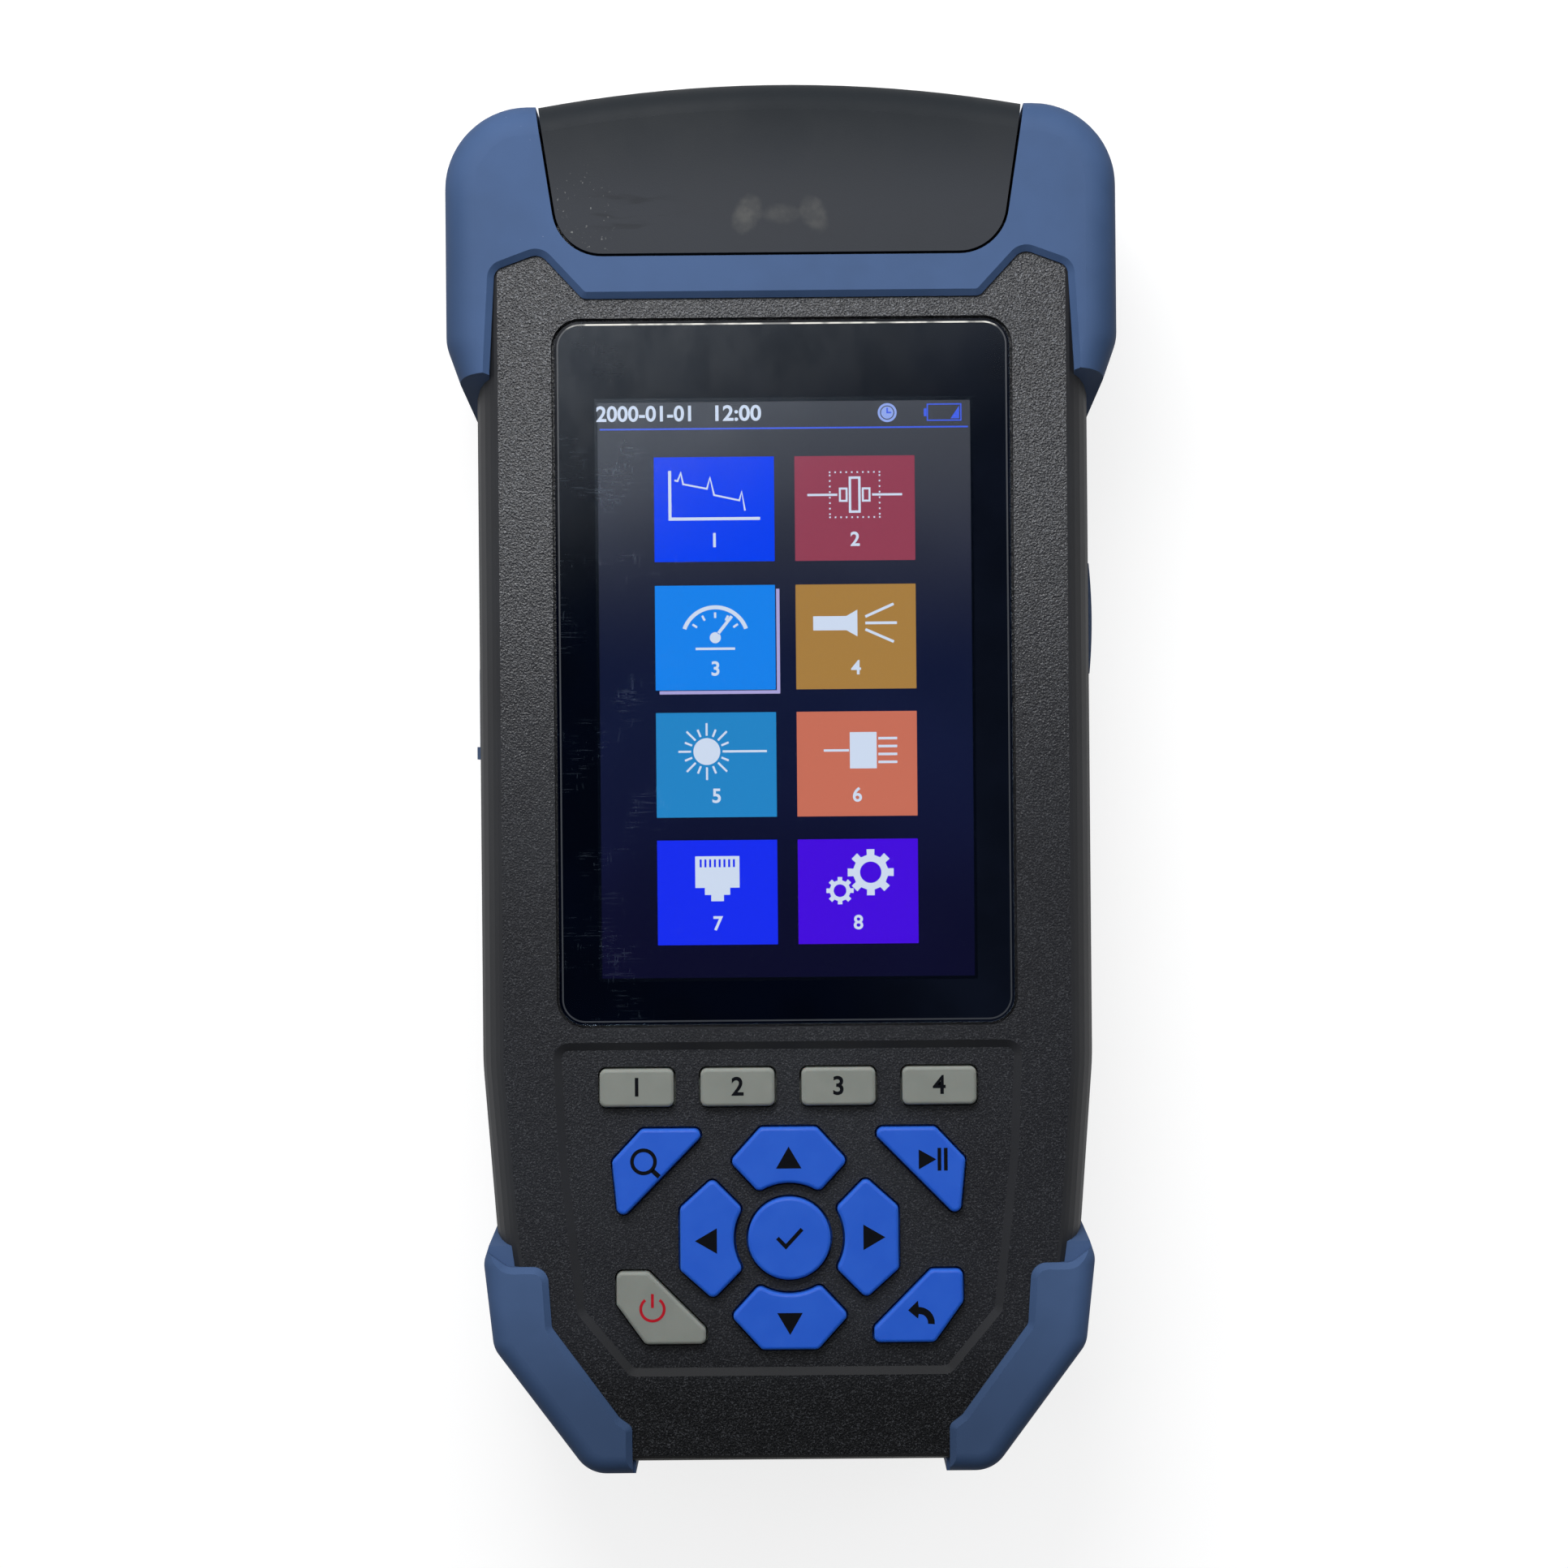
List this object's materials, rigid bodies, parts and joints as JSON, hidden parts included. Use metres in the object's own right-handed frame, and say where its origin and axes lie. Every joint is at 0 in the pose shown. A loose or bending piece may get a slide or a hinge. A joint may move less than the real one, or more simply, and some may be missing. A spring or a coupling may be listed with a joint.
{
  "type": "handheld optical time domain reflectometer",
  "caption": "Handheld fibre tester: charcoal case with rubber bumpers, colour display, rubber keypad and a hinged dust cover over fibre ports at its head.",
  "frame": {"origin": "middle of the plan outline, on the plane that the backs of the rubber bumpers rest on", "axes": "+Z out of the display, +Y towards the head with the fibre ports, +X to the right of the display"},
  "size_m": [0.0848, 0.1752, 0.0442],
  "materials": {
    "case_plastic": "fine leather grain, satin",
    "bumper_rubber": "soft matte rubber",
    "cover_plastic": "soft-touch matte",
    "lens_acrylic": "polished, scratched",
    "tape": "matte",
    "display": "lit display",
    "key_silicone_blue": "matte silicone",
    "key_silicone_grey": "matte silicone",
    "mat_silicone": "matte silicone",
    "seal_rubber": "matte",
    "port_rubber": "matte rubber",
    "circuit_board": "solder mask",
    "steel": "plain",
    "nickel_metal": "nickel plated",
    "zirconia": "polished",
    "clear_lens": "clear",
    "connector_plastic": "plain",
    "gold_contacts": "gold flash",
    "module_metal": "satin",
    "fibre": "coated fibre",
    "battery_sleeve": "shrink sleeve"
  },
  "bodies": {
    "case": {"front_case": "case_plastic", "rear_case": "case_plastic", "battery_door": "case_plastic", "port_panel": "case_plastic", "case_gasket": "seal_rubber", "upper_bumper": "bumper_rubber", "lower_right_boot": "bumper_rubber", "lower_left_boot": "bumper_rubber", "hinge_pins": "steel", "display_lens": "lens_acrylic", "lens_tape": "tape", "lcd_panel": "display", "lcd_frame": "steel", "keypad_mat": "mat_silicone", "dome_switches": "steel", "keypad_board": "circuit_board", "otdr_adaptor": "nickel_metal", "otdr_sleeve": "zirconia", "opm_adaptor": "nickel_metal", "vfl_adaptor": "nickel_metal", "torch_lens": "clear_lens", "torch_collar": "nickel_metal", "vfl_laser": "nickel_metal", "opm_detector": "nickel_metal", "rj45_jack": "connector_plastic", "rj45_contacts": "gold_contacts", "usb_socket": "steel", "main_board": "circuit_board", "shield_cans": "steel", "buzzer": "connector_plastic", "otdr_module": "module_metal", "fibre_spool": "connector_plastic", "launch_fibre": "fibre", "battery_pack": "battery_sleeve", "case_screws": "steel", "door_screws": "steel", "board_screws": "steel", "keypad_screws": "steel", "adaptor_screws": "steel"},
    "dust_cover": {"dust_cover": "cover_plastic"},
    "rj45_cover": {"rj45_cover": "port_rubber"},
    "usb_cover": {"usb_cover": "port_rubber"},
    "key_soft_1": {"key_soft_1": "key_silicone_grey"},
    "key_soft_2": {"key_soft_2": "key_silicone_grey"},
    "key_soft_3": {"key_soft_3": "key_silicone_grey"},
    "key_soft_4": {"key_soft_4": "key_silicone_grey"},
    "key_zoom": {"key_zoom": "key_silicone_blue"},
    "key_run_stop": {"key_run_stop": "key_silicone_blue"},
    "key_up": {"key_up": "key_silicone_blue"},
    "key_down": {"key_down": "key_silicone_blue"},
    "key_left": {"key_left": "key_silicone_blue"},
    "key_right": {"key_right": "key_silicone_blue"},
    "key_ok": {"key_ok": "key_silicone_blue"},
    "key_power": {"key_power": "key_silicone_grey"},
    "key_back": {"key_back": "key_silicone_blue"}
  },
  "joints": [
    {"name": "cover_hinge", "type": "hinge", "parent": "case", "child": "dust_cover", "pos_m": [0, 0.0829, 0.0082], "axis": [-1, 0, 0], "range_deg": [0, 95]},
    {"name": "rj45_cover_hinge", "type": "hinge", "parent": "case", "child": "rj45_cover", "pos_m": [0.0387, 0.0202, 0.0174], "axis": [0, 1, 0], "range_deg": [0, 110]},
    {"name": "usb_cover_hinge", "type": "hinge", "parent": "case", "child": "usb_cover", "pos_m": [-0.03865, 0.0145, 0.0294], "axis": [0, 0, -1], "range_deg": [0, 110]},
    {"name": "key_soft_1_press", "type": "slide", "parent": "case", "child": "key_soft_1", "axis": [0, 0, -1], "range_m": [0, 0.0007], "stiffness_N_per_m": 700, "springref_m": -0.0003},
    {"name": "key_soft_2_press", "type": "slide", "parent": "case", "child": "key_soft_2", "axis": [0, 0, -1], "range_m": [0, 0.0007], "stiffness_N_per_m": 700, "springref_m": -0.0003},
    {"name": "key_soft_3_press", "type": "slide", "parent": "case", "child": "key_soft_3", "axis": [0, 0, -1], "range_m": [0, 0.0007], "stiffness_N_per_m": 700, "springref_m": -0.0003},
    {"name": "key_soft_4_press", "type": "slide", "parent": "case", "child": "key_soft_4", "axis": [0, 0, -1], "range_m": [0, 0.0007], "stiffness_N_per_m": 700, "springref_m": -0.0003},
    {"name": "key_zoom_press", "type": "slide", "parent": "case", "child": "key_zoom", "axis": [0, 0, -1], "range_m": [0, 0.0007], "stiffness_N_per_m": 700, "springref_m": -0.0003},
    {"name": "key_run_stop_press", "type": "slide", "parent": "case", "child": "key_run_stop", "axis": [0, 0, -1], "range_m": [0, 0.0007], "stiffness_N_per_m": 700, "springref_m": -0.0003},
    {"name": "key_up_press", "type": "slide", "parent": "case", "child": "key_up", "axis": [0, 0, -1], "range_m": [0, 0.0007], "stiffness_N_per_m": 700, "springref_m": -0.0003},
    {"name": "key_down_press", "type": "slide", "parent": "case", "child": "key_down", "axis": [0, 0, -1], "range_m": [0, 0.0007], "stiffness_N_per_m": 700, "springref_m": -0.0003},
    {"name": "key_left_press", "type": "slide", "parent": "case", "child": "key_left", "axis": [0, 0, -1], "range_m": [0, 0.0007], "stiffness_N_per_m": 700, "springref_m": -0.0003},
    {"name": "key_right_press", "type": "slide", "parent": "case", "child": "key_right", "axis": [0, 0, -1], "range_m": [0, 0.0007], "stiffness_N_per_m": 700, "springref_m": -0.0003},
    {"name": "key_ok_press", "type": "slide", "parent": "case", "child": "key_ok", "axis": [0, 0, -1], "range_m": [0, 0.0007], "stiffness_N_per_m": 700, "springref_m": -0.0003},
    {"name": "key_power_press", "type": "slide", "parent": "case", "child": "key_power", "axis": [0, 0, -1], "range_m": [0, 0.0007], "stiffness_N_per_m": 700, "springref_m": -0.0003},
    {"name": "key_back_press", "type": "slide", "parent": "case", "child": "key_back", "axis": [0, 0, -1], "range_m": [0, 0.0007], "stiffness_N_per_m": 700, "springref_m": -0.0003}
  ]
}
